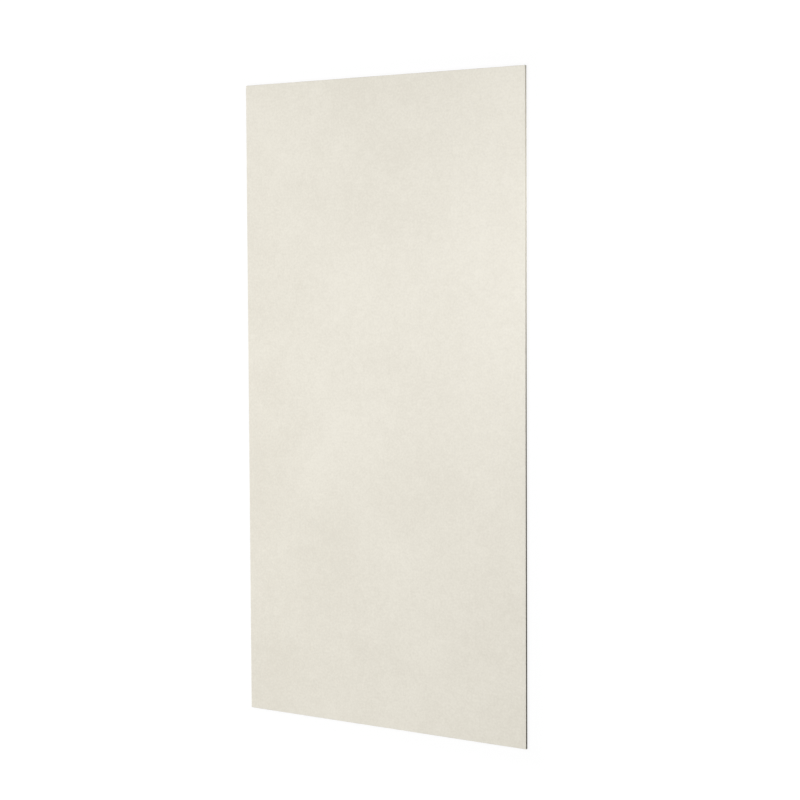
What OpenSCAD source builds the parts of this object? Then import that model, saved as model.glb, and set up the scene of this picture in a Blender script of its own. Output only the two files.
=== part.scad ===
// A shower wall panel: one cast solid-surface sheet, cut square and eased round its show face.
// It lies on its back. +X runs to the right-hand edge as the hung panel is seen, +Y to its top
// edge and +Z out of the show face. The origin is the middle of the back face.

/* [Sheet] */
// Width of the panel, from side edge to side edge
panel_w = 1219.2; // [600:0.1:1600]
// Height of the hung panel, from bottom edge to top edge
panel_h = 2438.4; // [1200:0.1:3000]
// Thickness, from the back face to the show face
panel_t = 9.5; // [6:0.5:20]

/* [Edges] */
// Radius of the eased edge round the show face
front_r = 1.6; // [0.5:0.1:3]
// Width of the bevel that breaks the sharp edge round the back face
back_bevel = 0.6; // [0.2:0.1:1.5]
// Radius of the corners, looking straight at the show face
corner_r = 2; // [0.5:0.1:6]

/* [Hidden] */
// How far each cutter for a corner or an edge runs out past the sheet
clear = 1;
// The cream of the sheet, the same all through
cream = [0.91, 0.89, 0.84];
$fn = 96;

// What rounding off takes away from a square corner at the origin, whose sides run along +X and +Y.
module rounding(r) {
    difference() {
        translate([-clear, -clear]) square(r + clear);
        translate([r, r]) circle(r = r);
    }
}

// What a 45 degree bevel takes away from the same corner.
module bevel(b) {
    polygon([[-clear, -clear], [b + clear, -clear], [-clear, b + clear]]);
}

// The sheet's outline, looking straight at the show face.
module outline() {
    difference() {
        square([panel_w, panel_h], center = true);
        for (x = [0, 1], y = [0, 1])
            mirror([x, 0]) mirror([0, y])
                translate([-panel_w / 2, -panel_h / 2]) rounding(corner_r);
    }
}

// A cut across the sheet, with the back face along the bottom and the show face on top.
module cross_section(span) {
    difference() {
        translate([-span / 2, 0]) square([span, panel_t]);
        for (x = [0, 1])
            mirror([x, 0]) {
                translate([-span / 2, 0]) bevel(back_bevel);
                translate([-span / 2, panel_t]) mirror([0, 1]) rounding(front_r);
            }
    }
}

// The whole sheet: the outline, with the cross-section run along its length and across its width.
module panel() {
    color(cream)
        intersection() {
            linear_extrude(panel_t) outline();
            rotate([90, 0, 0]) linear_extrude(panel_h, center = true) cross_section(panel_w);
            rotate([90, 0, 90]) linear_extrude(panel_w, center = true) cross_section(panel_h);
        }
}

panel();
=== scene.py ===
"""A shower wall panel, one cast solid-surface sheet, lying on its back on a studio floor.

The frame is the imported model's: +X runs to the right-hand edge as the hung panel is seen, +Y to
its top edge and +Z out of the show face, in metres, with the origin in the middle of the back.
"""

import logging
import math
from collections.abc import Iterable, Mapping
from dataclasses import dataclass
from enum import Enum
from typing import Protocol

import bmesh
import bpy
from mathutils import Matrix, Vector, noise


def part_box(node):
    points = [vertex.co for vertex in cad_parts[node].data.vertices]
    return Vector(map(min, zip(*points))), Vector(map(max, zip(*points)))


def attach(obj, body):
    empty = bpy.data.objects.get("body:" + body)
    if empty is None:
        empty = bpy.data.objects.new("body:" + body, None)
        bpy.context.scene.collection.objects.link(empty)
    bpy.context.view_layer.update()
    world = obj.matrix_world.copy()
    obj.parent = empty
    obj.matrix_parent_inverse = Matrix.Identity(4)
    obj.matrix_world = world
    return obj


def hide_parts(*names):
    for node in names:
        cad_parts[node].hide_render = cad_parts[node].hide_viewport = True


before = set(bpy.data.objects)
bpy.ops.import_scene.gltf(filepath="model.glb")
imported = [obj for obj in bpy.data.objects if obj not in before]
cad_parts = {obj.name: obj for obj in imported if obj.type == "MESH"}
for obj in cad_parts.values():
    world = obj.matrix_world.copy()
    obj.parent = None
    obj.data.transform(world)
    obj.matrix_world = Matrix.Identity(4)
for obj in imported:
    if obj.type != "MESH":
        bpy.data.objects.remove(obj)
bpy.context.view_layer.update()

BODY = "root"
NODE = "panel"
MM = 0.001
NOISE_MEAN = 0.5

log = logging.getLogger("wall_panel")

Colour = tuple[float, float, float]
Triple = tuple[float, float, float]


@dataclass(frozen=True)
class Layer:
    """One layer of soft noise in a finish.

    Attributes:
        seed: which of the many like patterns it is.
        size: how far apart its blotches lie, in metres or in the stretched coordinates.
        strength: what it is multiplied by where it is added to other layers.
        detail: how many finer layers it has.
        rough: how strong each finer layer is.
        warp: how far its blotches are pulled about.
        stretch: what each axis is multiplied by first, or None for plain metres.
        turn: the turn about each axis after that, in radians.
    """

    seed: float
    size: float = 1.0
    strength: float = 1.0
    detail: float = 2.0
    rough: float = 0.5
    warp: float = 0.0
    stretch: Triple | None = None
    turn: Triple = (0.0, 0.0, 0.0)


@dataclass(frozen=True)
class Fleck:
    """Small round grains of another colour, one for some of the cells of a broken grid.

    Attributes:
        colour: the grains' colour.
        seed: which of the many like patterns it is.
        size: how far apart the cells lie, in metres.
        share: the share of the cells that holds a grain.
        strength: how much of its own colour a grain has.
        core: how far out a grain is whole, as a share of a cell.
        rim: how far out a grain is gone, as a share of a cell.
    """

    colour: Colour
    seed: float
    size: float
    share: float
    strength: float
    core: float = 0.18
    rim: float = 0.34


class Value:
    """A number that varies over a surface: a node's socket that takes Python's arithmetic."""

    def __init__(self, graph: "ShaderGraph", socket: bpy.types.NodeSocket) -> None:
        """Wraps a socket.

        Args:
            graph: the node tree that the socket is in.
            socket: an output socket that gives one number.
        """
        self.graph = graph
        self.socket = socket

    def _math(self, operation: str, *operands: "Value | float") -> "Value":
        """Adds one Math node.

        Args:
            operation: the node's operation.
            operands: what goes into its sockets, in order.

        Returns:
            The node's result.
        """
        node = self.graph.add("ShaderNodeMath", {"operation": operation}, dict(enumerate(operands)))
        return Value(self.graph, node.outputs[0])

    def __add__(self, other: "Value | float") -> "Value":
        """Self plus other."""
        return self._math("ADD", self, other)

    def __radd__(self, other: float) -> "Value":
        """Other plus self."""
        return self._math("ADD", other, self)

    def __sub__(self, other: "Value | float") -> "Value":
        """Self minus other."""
        return self._math("SUBTRACT", self, other)

    def __rsub__(self, other: float) -> "Value":
        """Other minus self."""
        return self._math("SUBTRACT", other, self)

    def __mul__(self, other: "Value | float") -> "Value":
        """Self times other."""
        return self._math("MULTIPLY", self, other)

    def __rmul__(self, other: float) -> "Value":
        """Other times self."""
        return self._math("MULTIPLY", other, self)

    def clamped(self) -> "Value":
        """Self, held between 0 and 1."""
        node = self.graph.add("ShaderNodeClamp", inputs={"Value": self})
        return Value(self.graph, node.outputs[0])

    def magnitude(self) -> "Value":
        """Self without its sign."""
        return self._math("ABSOLUTE", self)

    def at_least(self, other: "Value | float") -> "Value":
        """The larger of self and other."""
        return self._math("MAXIMUM", self, other)

    def ramp(self, low: float, high: float) -> "Value":
        """A smooth step.

        Args:
            low: where the step starts.
            high: where the step ends.

        Returns:
            0 up to low and 1 from high, with a smooth rise between them.
        """
        node = self.graph.add(
            "ShaderNodeMapRange",
            {"interpolation_type": "SMOOTHSTEP"},
            {"Value": self, "From Min": low, "From Max": high},
        )
        return Value(self.graph, node.outputs[0])


Feed = Value | bpy.types.NodeSocket | float | tuple


class ShaderGraph:
    """The node tree of a material or a world, emptied and ready to be filled."""

    def __init__(self, tree: bpy.types.NodeTree) -> None:
        """Empties the tree.

        Args:
            tree: the node tree to fill.
        """
        self.tree = tree
        tree.nodes.clear()

    def add(
        self,
        kind: str,
        settings: Mapping[str, object] | None = None,
        inputs: Mapping[str | int, Feed] | None = None,
    ) -> bpy.types.Node:
        """Adds a node.

        Args:
            kind: the node's type.
            settings: its own settings by name, which are set first.
            inputs: a value or a link for each socket, by the socket's name, identifier or number.

        Returns:
            The new node.
        """
        node = self.tree.nodes.new(kind)
        for name, setting in (settings or {}).items():
            setattr(node, name, setting)
        for key, feed in (inputs or {}).items():
            socket = self._input(node, key)
            if isinstance(feed, Value):
                self.tree.links.new(feed.socket, socket)
            elif isinstance(feed, bpy.types.NodeSocket):
                self.tree.links.new(feed, socket)
            elif socket.type == "RGBA":
                socket.default_value = (*feed, 1.0)
            else:
                socket.default_value = feed
        return node

    @staticmethod
    def _input(node: bpy.types.Node, key: str | int) -> bpy.types.NodeSocket:
        """Finds an input socket.

        Args:
            node: the node to look in.
            key: the socket's number, identifier or name.

        Returns:
            The socket. An identifier goes before a name, because a Mix node's names repeat.
        """
        if isinstance(key, int):
            return node.inputs[key]
        matches = [socket for socket in node.inputs if socket.identifier == key]
        return matches[0] if matches else node.inputs[key]

    def position(self) -> bpy.types.NodeSocket:
        """The point that is shaded, in the object's own metres."""
        return self.add("ShaderNodeTexCoord").outputs["Object"]

    def stretched(self, scale: Triple, turn: Triple) -> bpy.types.NodeSocket:
        """The point that is shaded, with each axis scaled and turned, to draw a pattern out.

        Args:
            scale: what each axis is multiplied by.
            turn: the turn about each axis, in radians, made after the scaling.

        Returns:
            The new coordinates.
        """
        node = self.add(
            "ShaderNodeMapping",
            {"vector_type": "POINT"},
            {"Vector": self.position(), "Scale": scale, "Rotation": turn},
        )
        return node.outputs[0]

    def axis(self, name: str) -> Value:
        """One coordinate of the point that is shaded: "X", "Y" or "Z"."""
        node = self.add("ShaderNodeSeparateXYZ", inputs={"Vector": self.position()})
        return Value(self, node.outputs[name])

    def noise(self, layer: Layer) -> Value:
        """Draws a layer of soft noise about 0.

        Args:
            layer: what the noise is like. Its strength is left to the caller.

        Returns:
            A value from about -0.5 to 0.5.
        """
        at = self.stretched(layer.stretch, layer.turn) if layer.stretch else self.position()
        node = self.add(
            "ShaderNodeTexNoise",
            {"noise_dimensions": "4D"},
            {
                "Vector": at,
                "W": layer.seed,
                "Scale": 1.0 / layer.size,
                "Detail": layer.detail,
                "Roughness": layer.rough,
                "Distortion": layer.warp,
            },
        )
        return Value(self, node.outputs[0]) - NOISE_MEAN

    def flecks(self, fleck: Fleck) -> Value:
        """Draws the places of small round grains.

        Args:
            fleck: what the grains are like. Their strength is left to the caller.

        Returns:
            1 inside a grain and 0 elsewhere.
        """
        node = self.add(
            "ShaderNodeTexVoronoi",
            {"voronoi_dimensions": "4D"},
            {"Vector": self.position(), "W": fleck.seed, "Scale": 1.0 / fleck.size},
        )
        chosen = self.add("ShaderNodeSeparateColor", inputs={"Color": node.outputs["Color"]})
        picked = Value(self, chosen.outputs[0]).ramp(1.0 - fleck.share, 1.0 - fleck.share / 2.0)
        near = 1.0 - Value(self, node.outputs["Distance"]).ramp(fleck.core, fleck.rim)
        return picked * near

    def blend(self, share: Feed, first: Feed, second: Feed) -> bpy.types.NodeSocket:
        """Mixes two colours.

        Args:
            share: how much of the second colour there is.
            first: a colour.
            second: another colour.

        Returns:
            The mixed colour.
        """
        node = self.add(
            "ShaderNodeMix",
            {"data_type": "RGBA"},
            {"Factor_Float": share, "A_Color": first, "B_Color": second},
        )
        return next(socket for socket in node.outputs if socket.identifier == "Result_Color")

    def bumped(self, height: Value, depth: float) -> bpy.types.NodeSocket:
        """A normal that follows a relief.

        Args:
            height: the relief, where 1 is one depth high.
            depth: how high that is, in metres.

        Returns:
            The bumped normal.
        """
        node = self.add("ShaderNodeBump", inputs={"Distance": depth, "Height": height})
        return node.outputs[0]

    def close(self, surface: bpy.types.NodeSocket, kind: str = "ShaderNodeOutputMaterial") -> None:
        """Sends a shader to the tree's output node."""
        self.add(kind, inputs={"Surface": surface})


class Finish(Protocol):
    """What dresses one side of the sheet."""

    def material(self) -> bpy.types.Material:
        """Makes the finish's material."""


def new_material(name: str) -> tuple[bpy.types.Material, ShaderGraph]:
    """Makes an empty material.

    Args:
        name: the material's name.

    Returns:
        The material, and its node tree to fill.
    """
    material = bpy.data.materials.new(name)
    material.use_nodes = True
    return material, ShaderGraph(material.node_tree)


@dataclass(frozen=True)
class ShowFace:
    """The show face: cream resin with soft clouds, sanded to an even matte sheen."""

    name: str = "show_face"
    pale: Colour = (0.844, 0.810, 0.717)
    dusk: Colour = (0.764, 0.728, 0.636)
    middle: float = 0.5
    cloud: Layer = Layer(seed=4031.3, size=0.800, strength=1.15, detail=3.0, warp=0.8)
    drift: Layer = Layer(seed=1537.9, size=0.360, strength=0.80, detail=3.0, warp=0.8)
    wisp: Layer = Layer(seed=2336.6, size=0.160, strength=0.75, detail=3.0, warp=0.8)
    mottle: Layer = Layer(seed=13.0, size=0.024, strength=0.90, warp=0.5)
    grain: Layer = Layer(seed=11.0, size=0.0085, strength=2.0, rough=0.6)
    mineral: Fleck = Fleck((0.700, 0.668, 0.585), seed=1.0, size=0.0042, share=0.12, strength=0.35)
    chalk: Fleck = Fleck((0.880, 0.860, 0.800), seed=2.0, size=0.0058, share=0.10, strength=0.40)
    roughness: float = 0.46
    wisp_roughness: float = 0.10
    grain_roughness: float = 0.08
    peel: Layer = Layer(seed=5.0, size=0.0065)
    tooth: Layer = Layer(seed=6.0, size=0.0011, strength=0.2, detail=1.0)
    peel_depth: float = 0.05 * MM

    def material(self) -> bpy.types.Material:
        """Makes the show face's material.

        Returns:
            A matte cream with drifting clouds, fine grain, small flecks and a cast skin's bump.
        """
        material, graph = new_material(self.name)
        wisp = graph.noise(self.wisp)
        grain = graph.noise(self.grain)
        tone = (
            graph.noise(self.cloud) * self.cloud.strength
            + graph.noise(self.drift) * self.drift.strength
            + wisp * self.wisp.strength
            + graph.noise(self.mottle) * self.mottle.strength
            + grain * self.grain.strength
            + self.middle
        )
        body = graph.blend(tone.clamped(), self.dusk, self.pale)
        for fleck in (self.mineral, self.chalk):
            body = graph.blend(graph.flecks(fleck) * fleck.strength, body, fleck.colour)
        relief = graph.noise(self.peel) + graph.noise(self.tooth) * self.tooth.strength
        sheen = self.roughness + wisp * self.wisp_roughness + grain * self.grain_roughness
        shader = graph.add(
            "ShaderNodeBsdfPrincipled",
            inputs={
                "Base Color": body,
                "Roughness": sheen,
                "Normal": graph.bumped(relief, self.peel_depth),
            },
        )
        graph.close(shader.outputs[0])
        return material


@dataclass(frozen=True)
class SawnEdge:
    """A cut edge: the same resin, sawn to size and rubbed down, so duller; its colour is a little
    darker than the face's, partly for the sawing and partly as painted shade on the edges.
    """

    # Partly painted shade: these two colours sit darker and yellower than the face's cream, which
    # darkens the edges beyond what the sawing alone would give.
    resin: Colour = (0.742, 0.696, 0.560)
    dusty: Colour = (0.800, 0.760, 0.640)
    middle: float = 0.45
    marks: Layer = Layer(
        seed=4.0,
        strength=0.9,
        detail=3.0,
        rough=0.6,
        stretch=(700.0, 700.0, 25.0),
        turn=(0.12, 0.12, 0.0),
    )
    patches: Layer = Layer(seed=8.0, size=0.16, strength=0.6, detail=3.0, rough=0.6)
    pits: Fleck = Fleck((0.600, 0.545, 0.420), seed=9.0, size=0.0016, share=0.22, strength=0.5)
    roughness: float = 0.66
    marks_roughness: float = 0.15
    gloss: float = 0.10
    saw_depth: float = 0.05 * MM
    pit_depth: float = 0.4

    def material(self) -> bpy.types.Material:
        """Makes the cut edges' material.

        Returns:
            A dull cream with the saw's fine marks running through the thickness.
        """
        material, graph = new_material("sawn_edge")
        marks = graph.noise(self.marks)
        patches = graph.noise(self.patches)
        tone = self.middle + marks * self.marks.strength + patches * self.patches.strength
        body = graph.blend(tone.clamped(), self.resin, self.dusty)
        pits = graph.flecks(self.pits)
        body = graph.blend(pits * self.pits.strength, body, self.pits.colour)
        shader = graph.add(
            "ShaderNodeBsdfPrincipled",
            inputs={
                "Base Color": body,
                "Roughness": self.roughness + marks * self.marks_roughness,
                "Specular IOR Level": self.gloss,
                "Normal": graph.bumped(marks - pits * self.pit_depth, self.saw_depth),
            },
        )
        graph.close(shader.outputs[0])
        return material


@dataclass(frozen=True)
class SandedBack:
    """The back: sanded to thickness on a wide belt and left dull, as a key for the adhesive."""

    chalky: Colour = (0.800, 0.768, 0.682)
    worn: Colour = (0.705, 0.668, 0.576)
    dusty: Colour = (0.850, 0.824, 0.748)
    chalky_share: float = 0.45
    middle: float = 0.5
    lines: Layer = Layer(seed=2.0, strength=0.7, detail=3.0, rough=0.65, stretch=(420.0, 3.0, 3.0))
    bands: Layer = Layer(seed=5.0, strength=0.9, stretch=(9.0, 0.8, 1.0))
    blotch: Layer = Layer(seed=9.0, size=0.30, strength=0.8, detail=4.0, rough=0.6, warp=0.6)
    roughness: float = 0.72
    lines_roughness: float = 0.2
    scratch_depth: float = 0.04 * MM

    def material(self) -> bpy.types.Material:
        """Makes the back's material.

        Returns:
            A chalky cream with long sanding lines and the belt's faint bands.
        """
        material, graph = new_material("sanded_back")
        lines = graph.noise(self.lines)
        tone = (
            self.middle
            + lines * self.lines.strength
            + graph.noise(self.bands) * self.bands.strength
            + graph.noise(self.blotch) * self.blotch.strength
        )
        body = graph.blend(tone.clamped(), self.worn, self.dusty)
        body = graph.blend(self.chalky_share, body, self.chalky)
        shader = graph.add(
            "ShaderNodeBsdfPrincipled",
            inputs={
                "Base Color": body,
                "Roughness": self.roughness + lines * self.lines_roughness,
                "Normal": graph.bumped(lines, self.scratch_depth),
            },
        )
        graph.close(shader.outputs[0])
        return material


class Side(Enum):
    """Which side of the sheet a face of the mesh is on, and so which finish it wears."""

    SHOW = 0
    RIM = 1
    EDGE = 2
    BACK = 3


@dataclass(frozen=True)
class PanelSheet:
    """The sheet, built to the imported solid's box."""

    width: float
    height: float
    thickness: float
    front_radius: float = 1.6 * MM
    back_bevel: float = 0.6 * MM
    corner_radius: float = 2.0 * MM
    cell: float = 10.0 * MM
    round_steps: int = 6
    ripple_depth: float = 0.08 * MM
    ripple_size: float = 0.150
    ripple_border: float = 0.040
    ripple_fade: float = 1.0
    ripple_step: float = 2.0
    ripple_octaves: int = 3
    near: float = 0.01 * MM
    sharp_turn: float = math.radians(30.0)

    @classmethod
    def from_frame(cls, node: str) -> "PanelSheet":
        """Takes the sheet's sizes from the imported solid.

        Args:
            node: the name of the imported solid.

        Returns:
            A sheet of the same width, height and thickness.
        """
        low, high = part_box(node)
        return cls(*(high - low))

    def build(self, name: str) -> bpy.types.Object:
        """Makes the sheet's mesh and its object.

        Args:
            name: the piece's name.

        Returns:
            The undressed sheet, with its faces marked by side.
        """
        bm = bmesh.new()
        self._slab(bm)
        self._round_corners(bm)
        self._ease_rim(bm, self.thickness, self.front_radius, self.round_steps)
        self._ease_rim(bm, 0.0, self.back_bevel, 1)
        bmesh.ops.recalc_face_normals(bm, faces=bm.faces[:])
        self._mark_sides(bm)
        self._mark_sharp(bm)
        self._ripple(bm)
        mesh = bpy.data.meshes.new(name)
        bm.to_mesh(mesh)
        bm.free()
        sheet = bpy.data.objects.new(name, mesh)
        bpy.context.scene.collection.objects.link(sheet)
        weighted = sheet.modifiers.new("even_shading", "WEIGHTED_NORMAL")
        weighted.keep_sharp = True
        return sheet

    def _slab(self, bm: bmesh.types.BMesh) -> None:
        """Makes a square-edged slab out of cells, on its back at height 0.

        Args:
            bm: the empty mesh to make it in.
        """
        bmesh.ops.create_grid(
            bm,
            x_segments=round(self.width / self.cell),
            y_segments=round(self.height / self.cell),
            size=0.5,
        )
        bmesh.ops.scale(bm, vec=(self.width, self.height, 1.0), verts=bm.verts[:])
        raised = bmesh.ops.extrude_face_region(bm, geom=bm.faces[:], use_keep_orig=True)
        top = [part for part in raised["geom"] if isinstance(part, bmesh.types.BMVert)]
        bmesh.ops.translate(bm, vec=(0.0, 0.0, self.thickness), verts=top)
        bmesh.ops.recalc_face_normals(bm, faces=bm.faces[:])

    def _round_corners(self, bm: bmesh.types.BMesh) -> None:
        """Rounds the four upright edges.

        Args:
            bm: the slab.
        """
        corners = [
            edge
            for edge in bm.edges
            if all(self._in_corner(vert.co) for vert in edge.verts)
            and abs(edge.verts[0].co.z - edge.verts[1].co.z) > self.near
        ]
        self._bevel(bm, corners, self.corner_radius, self.round_steps)

    def _in_corner(self, point: Vector) -> bool:
        """Tells whether a point is on one of the slab's four upright edges."""
        aside = self.width / 2 - abs(point.x) < self.near
        return aside and self.height / 2 - abs(point.y) < self.near

    def _ease_rim(self, bm: bmesh.types.BMesh, level: float, reach: float, steps: int) -> None:
        """Takes the sharpness off the edge round one face of the slab.

        Args:
            bm: the slab.
            level: the height of the face.
            reach: how far in the easing goes.
            steps: how many flats it has: 1 is a plain bevel.
        """
        rim = [
            edge
            for edge in bm.edges
            if all(abs(vert.co.z - level) < self.near for vert in edge.verts)
            and edge.calc_face_angle(0.0) > self.sharp_turn
        ]
        self._bevel(bm, rim, reach, steps)

    @staticmethod
    def _bevel(
        bm: bmesh.types.BMesh, edges: Iterable[bmesh.types.BMEdge], reach: float, steps: int
    ) -> None:
        """Bevels edges.

        Args:
            bm: the mesh that they are in.
            edges: the edges.
            reach: how far in the bevel goes.
            steps: how many flats it has.
        """
        bmesh.ops.bevel(
            bm,
            geom=list(edges),
            offset=reach,
            offset_type="OFFSET",
            segments=steps,
            profile=0.5,
            affect="EDGES",
            material=-1,
            clamp_overlap=False,
        )

    def _mark_sides(self, bm: bmesh.types.BMesh) -> None:
        """Gives each face the number of the side that it is on.

        Args:
            bm: the sheet.
        """
        for face in bm.faces:
            level = face.calc_center_median().z
            if level > self.thickness - self.near:
                side = Side.SHOW
            elif level > self.thickness - self.front_radius:
                side = Side.RIM
            elif level > self.near:
                side = Side.EDGE
            else:
                side = Side.BACK
            face.material_index = side.value

    def _mark_sharp(self, bm: bmesh.types.BMesh) -> None:
        """Smooths the shading, except across the back's bevel.

        Args:
            bm: the sheet.
        """
        for face in bm.faces:
            face.smooth = True
        for edge in bm.edges:
            edge.smooth = edge.calc_face_angle(0.0) < self.sharp_turn

    def _ripple(self, bm: bmesh.types.BMesh) -> None:
        """Sinks the show face by the faint unevenness of a cast sheet, and leaves its rim true.

        Args:
            bm: the sheet.
        """
        for vert in bm.verts:
            inset = min(self.width / 2 - abs(vert.co.x), self.height / 2 - abs(vert.co.y))
            inside = (inset - self.front_radius) / self.ripple_border
            if self.thickness - vert.co.z > self.near or inside <= 0.0:
                continue
            swell = noise.fractal(
                vert.co / self.ripple_size, self.ripple_fade, self.ripple_step, self.ripple_octaves
            )
            share = min(max(0.5 + 0.5 * swell, 0.0), 1.0) * min(inside, 1.0)
            vert.co.z -= self.ripple_depth * share

    def dress(self, sheet: bpy.types.Object, finishes: Mapping[Side, Finish]) -> None:
        """Gives each side of the sheet its finish.

        Args:
            sheet: the built sheet.
            finishes: the finish of each side.
        """
        for side in Side:
            sheet.data.materials.append(finishes[side].material())


@dataclass(frozen=True)
class StudioFloor:
    """A pale floor, white to the camera, that keeps the sheet's shadow close round the sheet."""

    reach: float = 60.0
    drop: float = 0.3 * MM
    window_inset: float = 1.0 * MM
    grey: Colour = (0.12, 0.12, 0.12)
    near_glow: float = 0.89
    fade_start: float = 0.02
    fade_end: float = 0.30

    def build(self, sheet: PanelSheet) -> bpy.types.Object:
        """Makes the floor, with a window under the sheet through which its back can be seen.

        Args:
            sheet: the sheet that lies on it.

        Returns:
            The floor, marked as stage.
        """
        bm = bmesh.new()
        bmesh.ops.create_grid(bm, x_segments=1, y_segments=1, size=self.reach)
        for across, half in (((1, 0, 0), sheet.width / 2), ((0, 1, 0), sheet.height / 2)):
            for sign in (-1, 1):
                place = Vector(across) * sign * (half - self.window_inset)
                everything = [*bm.verts, *bm.edges, *bm.faces]
                bmesh.ops.bisect_plane(bm, geom=everything, plane_co=place, plane_no=across)
        window = min(bm.faces, key=lambda face: face.calc_center_median().length)
        bmesh.ops.delete(bm, geom=[window], context="FACES")
        bmesh.ops.translate(bm, vec=(0.0, 0.0, -self.drop), verts=bm.verts[:])
        mesh = bpy.data.meshes.new("studio_floor")
        bm.to_mesh(mesh)
        bm.free()
        floor = bpy.data.objects.new("studio_floor", mesh)
        bpy.context.scene.collection.objects.link(floor)
        floor.data.materials.append(self._paint(sheet))
        return floor

    def _paint(self, sheet: PanelSheet) -> bpy.types.Material:
        """Makes the floor's paint.

        Args:
            sheet: the sheet that lies on it.

        Returns:
            Paint that is white to the eye, dark grey to the lamps, and clear from below.
        """
        material, graph = new_material("floor_paint")
        beside = (graph.axis("X").magnitude() - sheet.width / 2).at_least(
            graph.axis("Y").magnitude() - sheet.height / 2
        )
        far = beside.ramp(self.fade_start, self.fade_end)
        glow = seen_directly(graph) * (self.near_glow + (1.0 - self.near_glow) * far)
        matte = graph.add("ShaderNodeBsdfDiffuse", inputs={"Color": self.grey})
        shine = graph.add("ShaderNodeEmission", inputs={"Strength": glow})
        paint = graph.add("ShaderNodeAddShader", inputs={0: matte.outputs[0], 1: shine.outputs[0]})
        below = graph.add("ShaderNodeNewGeometry").outputs["Backfacing"]
        clear = graph.add("ShaderNodeBsdfTransparent")
        mixed = graph.add(
            "ShaderNodeMixShader", inputs={0: below, 1: paint.outputs[0], 2: clear.outputs[0]}
        )
        graph.close(mixed.outputs[0])
        return material


def seen_directly(graph: ShaderGraph) -> Value:
    """Tells the rays of the eye, and of reflections and glass, from those of light.

    Args:
        graph: the node tree to add to.

    Returns:
        1 for a camera, glossy or transmission ray, and 0 for any other.
    """
    path = graph.add("ShaderNodeLightPath")
    camera, glossy, glass = (
        Value(graph, path.outputs[name])
        for name in ("Is Camera Ray", "Is Glossy Ray", "Is Transmission Ray")
    )
    return camera.at_least(glossy).at_least(glass)


@dataclass(frozen=True, kw_only=True)
class Lamp:
    """A lamp aimed at a point and hidden from the camera."""

    name: str
    place: Triple
    target: Triple = (0.0, 0.0, 0.0)
    power: float
    glare: bool = False

    def build(self) -> None:
        """Makes the lamp."""
        light = self._bulb()
        light.energy = self.power
        lamp = bpy.data.objects.new(self.name, light)
        lamp.location = self.place
        ahead = Vector(self.target) - Vector(self.place)
        lamp.rotation_euler = ahead.to_track_quat("-Z", "Y").to_euler()
        lamp.visible_camera = False
        lamp.visible_glossy = self.glare
        bpy.context.scene.collection.objects.link(lamp)

    def _bulb(self) -> bpy.types.Light:
        """Makes what shines."""
        raise NotImplementedError


@dataclass(frozen=True, kw_only=True)
class RoundLamp(Lamp):
    """A round soft lamp, whose light falls off with the distance."""

    size: float

    def _bulb(self) -> bpy.types.Light:
        """Makes a glowing disc.

        Returns:
            Its light.
        """
        light = bpy.data.lights.new(self.name, "AREA")
        light.shape = "DISK"
        light.size = self.size
        return light


@dataclass(frozen=True, kw_only=True)
class FarLamp(Lamp):
    """A soft lamp so far off that it lights the whole sheet alike."""

    spread: float = math.radians(25.0)

    def _bulb(self) -> bpy.types.Light:
        """Makes a source with parallel, slightly spread light.

        Returns:
            Its light.
        """
        light = bpy.data.lights.new(self.name, "SUN")
        light.angle = self.spread
        return light


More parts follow.
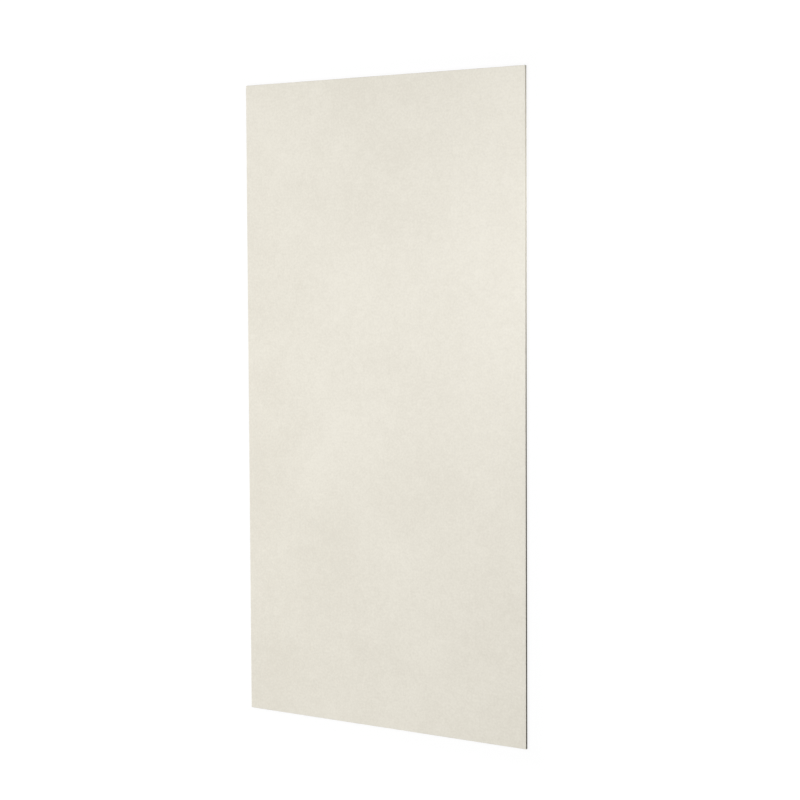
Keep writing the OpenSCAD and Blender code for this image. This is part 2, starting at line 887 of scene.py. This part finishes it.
@dataclass(frozen=True)
class StudioLight:
    """A dim white dome, a broad lamp overhead, two fills from the left, and two low lamps.

    One low lamp is beside the top of the right-hand edge and the other shows the back from below.
    Only the lamp overhead and the one below have a reflection, because that of the others would
    burn out at a low angle.
    """

    dome: float = 0.07
    white: Colour = (1.0, 1.0, 1.0)
    lamps: tuple[Lamp, ...] = (
        RoundLamp(
            name="key_lamp",
            place=(-1.37, 0.46, 5.76),
            target=(-0.78, -1.45, 0.0),
            power=166.0,
            size=1.4,
            glare=True,
        ),
        FarLamp(name="front_fill", place=(-5.79, -5.79, 5.74), power=1.175),
        FarLamp(name="rear_fill", place=(-5.79, 5.79, 5.74), power=1.175),
        RoundLamp(
            name="side_lamp",
            place=(1.36, 0.73, 0.07),
            target=(0.60, 0.73, 0.02),
            power=4.3,
            size=0.12,
        ),
        RoundLamp(name="under_lamp", place=(0.0, 0.0, -4.0), power=140.0, size=2.0, glare=True),
    )

    def build(self) -> None:
        """Lights the scene."""
        self._dome()
        for lamp in self.lamps:
            lamp.build()

    def _dome(self) -> None:
        """Makes the world: white to the eye, and a plain level of light to the sheet."""
        world = bpy.data.worlds.new("studio_dome")
        world.use_nodes = True
        graph = ShaderGraph(world.node_tree)
        strength = self.dome + (1.0 - self.dome) * seen_directly(graph)
        sky = graph.add("ShaderNodeBackground", inputs={"Color": self.white, "Strength": strength})
        graph.close(sky.outputs[0], "ShaderNodeOutputWorld")
        bpy.context.scene.world = world


@dataclass(frozen=True)
class StudioCamera:
    """A camera turned and tipped off the show face, set by where it sees the face's middle."""

    lens_mm: float = 78.94
    sensor_mm: float = 36.0
    shift_up: float = -0.05
    turn: float = math.radians(31.57)
    tip: float = math.radians(-2.801)
    roll: float = math.radians(-0.289)
    face_right: float = -0.0739
    face_up: float = -0.4858
    face_ahead: float = 6.534

    def build(self, sheet: PanelSheet) -> None:
        """Makes the scene's camera.

        Args:
            sheet: the sheet that it looks down on.
        """
        data = bpy.data.cameras.new("studio_camera")
        data.lens = self.lens_mm
        data.sensor_width = self.sensor_mm
        data.shift_y = self.shift_up
        camera = bpy.data.objects.new("studio_camera", data)
        face = Matrix.Translation((0.0, 0.0, sheet.thickness))
        turned = Matrix.Rotation(self.turn, 4, "Y")
        back_off = Matrix.Translation((-self.face_right, -self.face_up, self.face_ahead))
        aim = Matrix.Rotation(self.tip, 4, "X") @ Matrix.Rotation(self.roll, 4, "Z")
        camera.matrix_world = face @ turned @ back_off @ aim
        bpy.context.scene.collection.objects.link(camera)
        bpy.context.scene.camera = camera


def main() -> None:
    """Builds the sheet and its studio, in order."""
    logging.basicConfig(level=logging.INFO, format="%(name)s: %(message)s")
    bpy.context.scene.view_settings.view_transform = "Standard"
    panel = PanelSheet.from_frame(NODE)
    sheet = panel.build("wall_panel")
    finishes = {
        Side.SHOW: ShowFace(),
        Side.RIM: ShowFace("eased_rim", roughness=0.26),
        Side.EDGE: SawnEdge(),
        Side.BACK: SandedBack(),
    }
    panel.dress(sheet, finishes)
    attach(sheet, BODY)
    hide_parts(NODE)
    faces = len(sheet.data.polygons)
    log.info("%s: %d faces, %.4f x %.4f x %.4f m", sheet.name, faces, *sheet.dimensions)
    StudioFloor().build(panel)
    StudioLight().build()
    StudioCamera().build(panel)


if __name__ == "__main__":
    main()
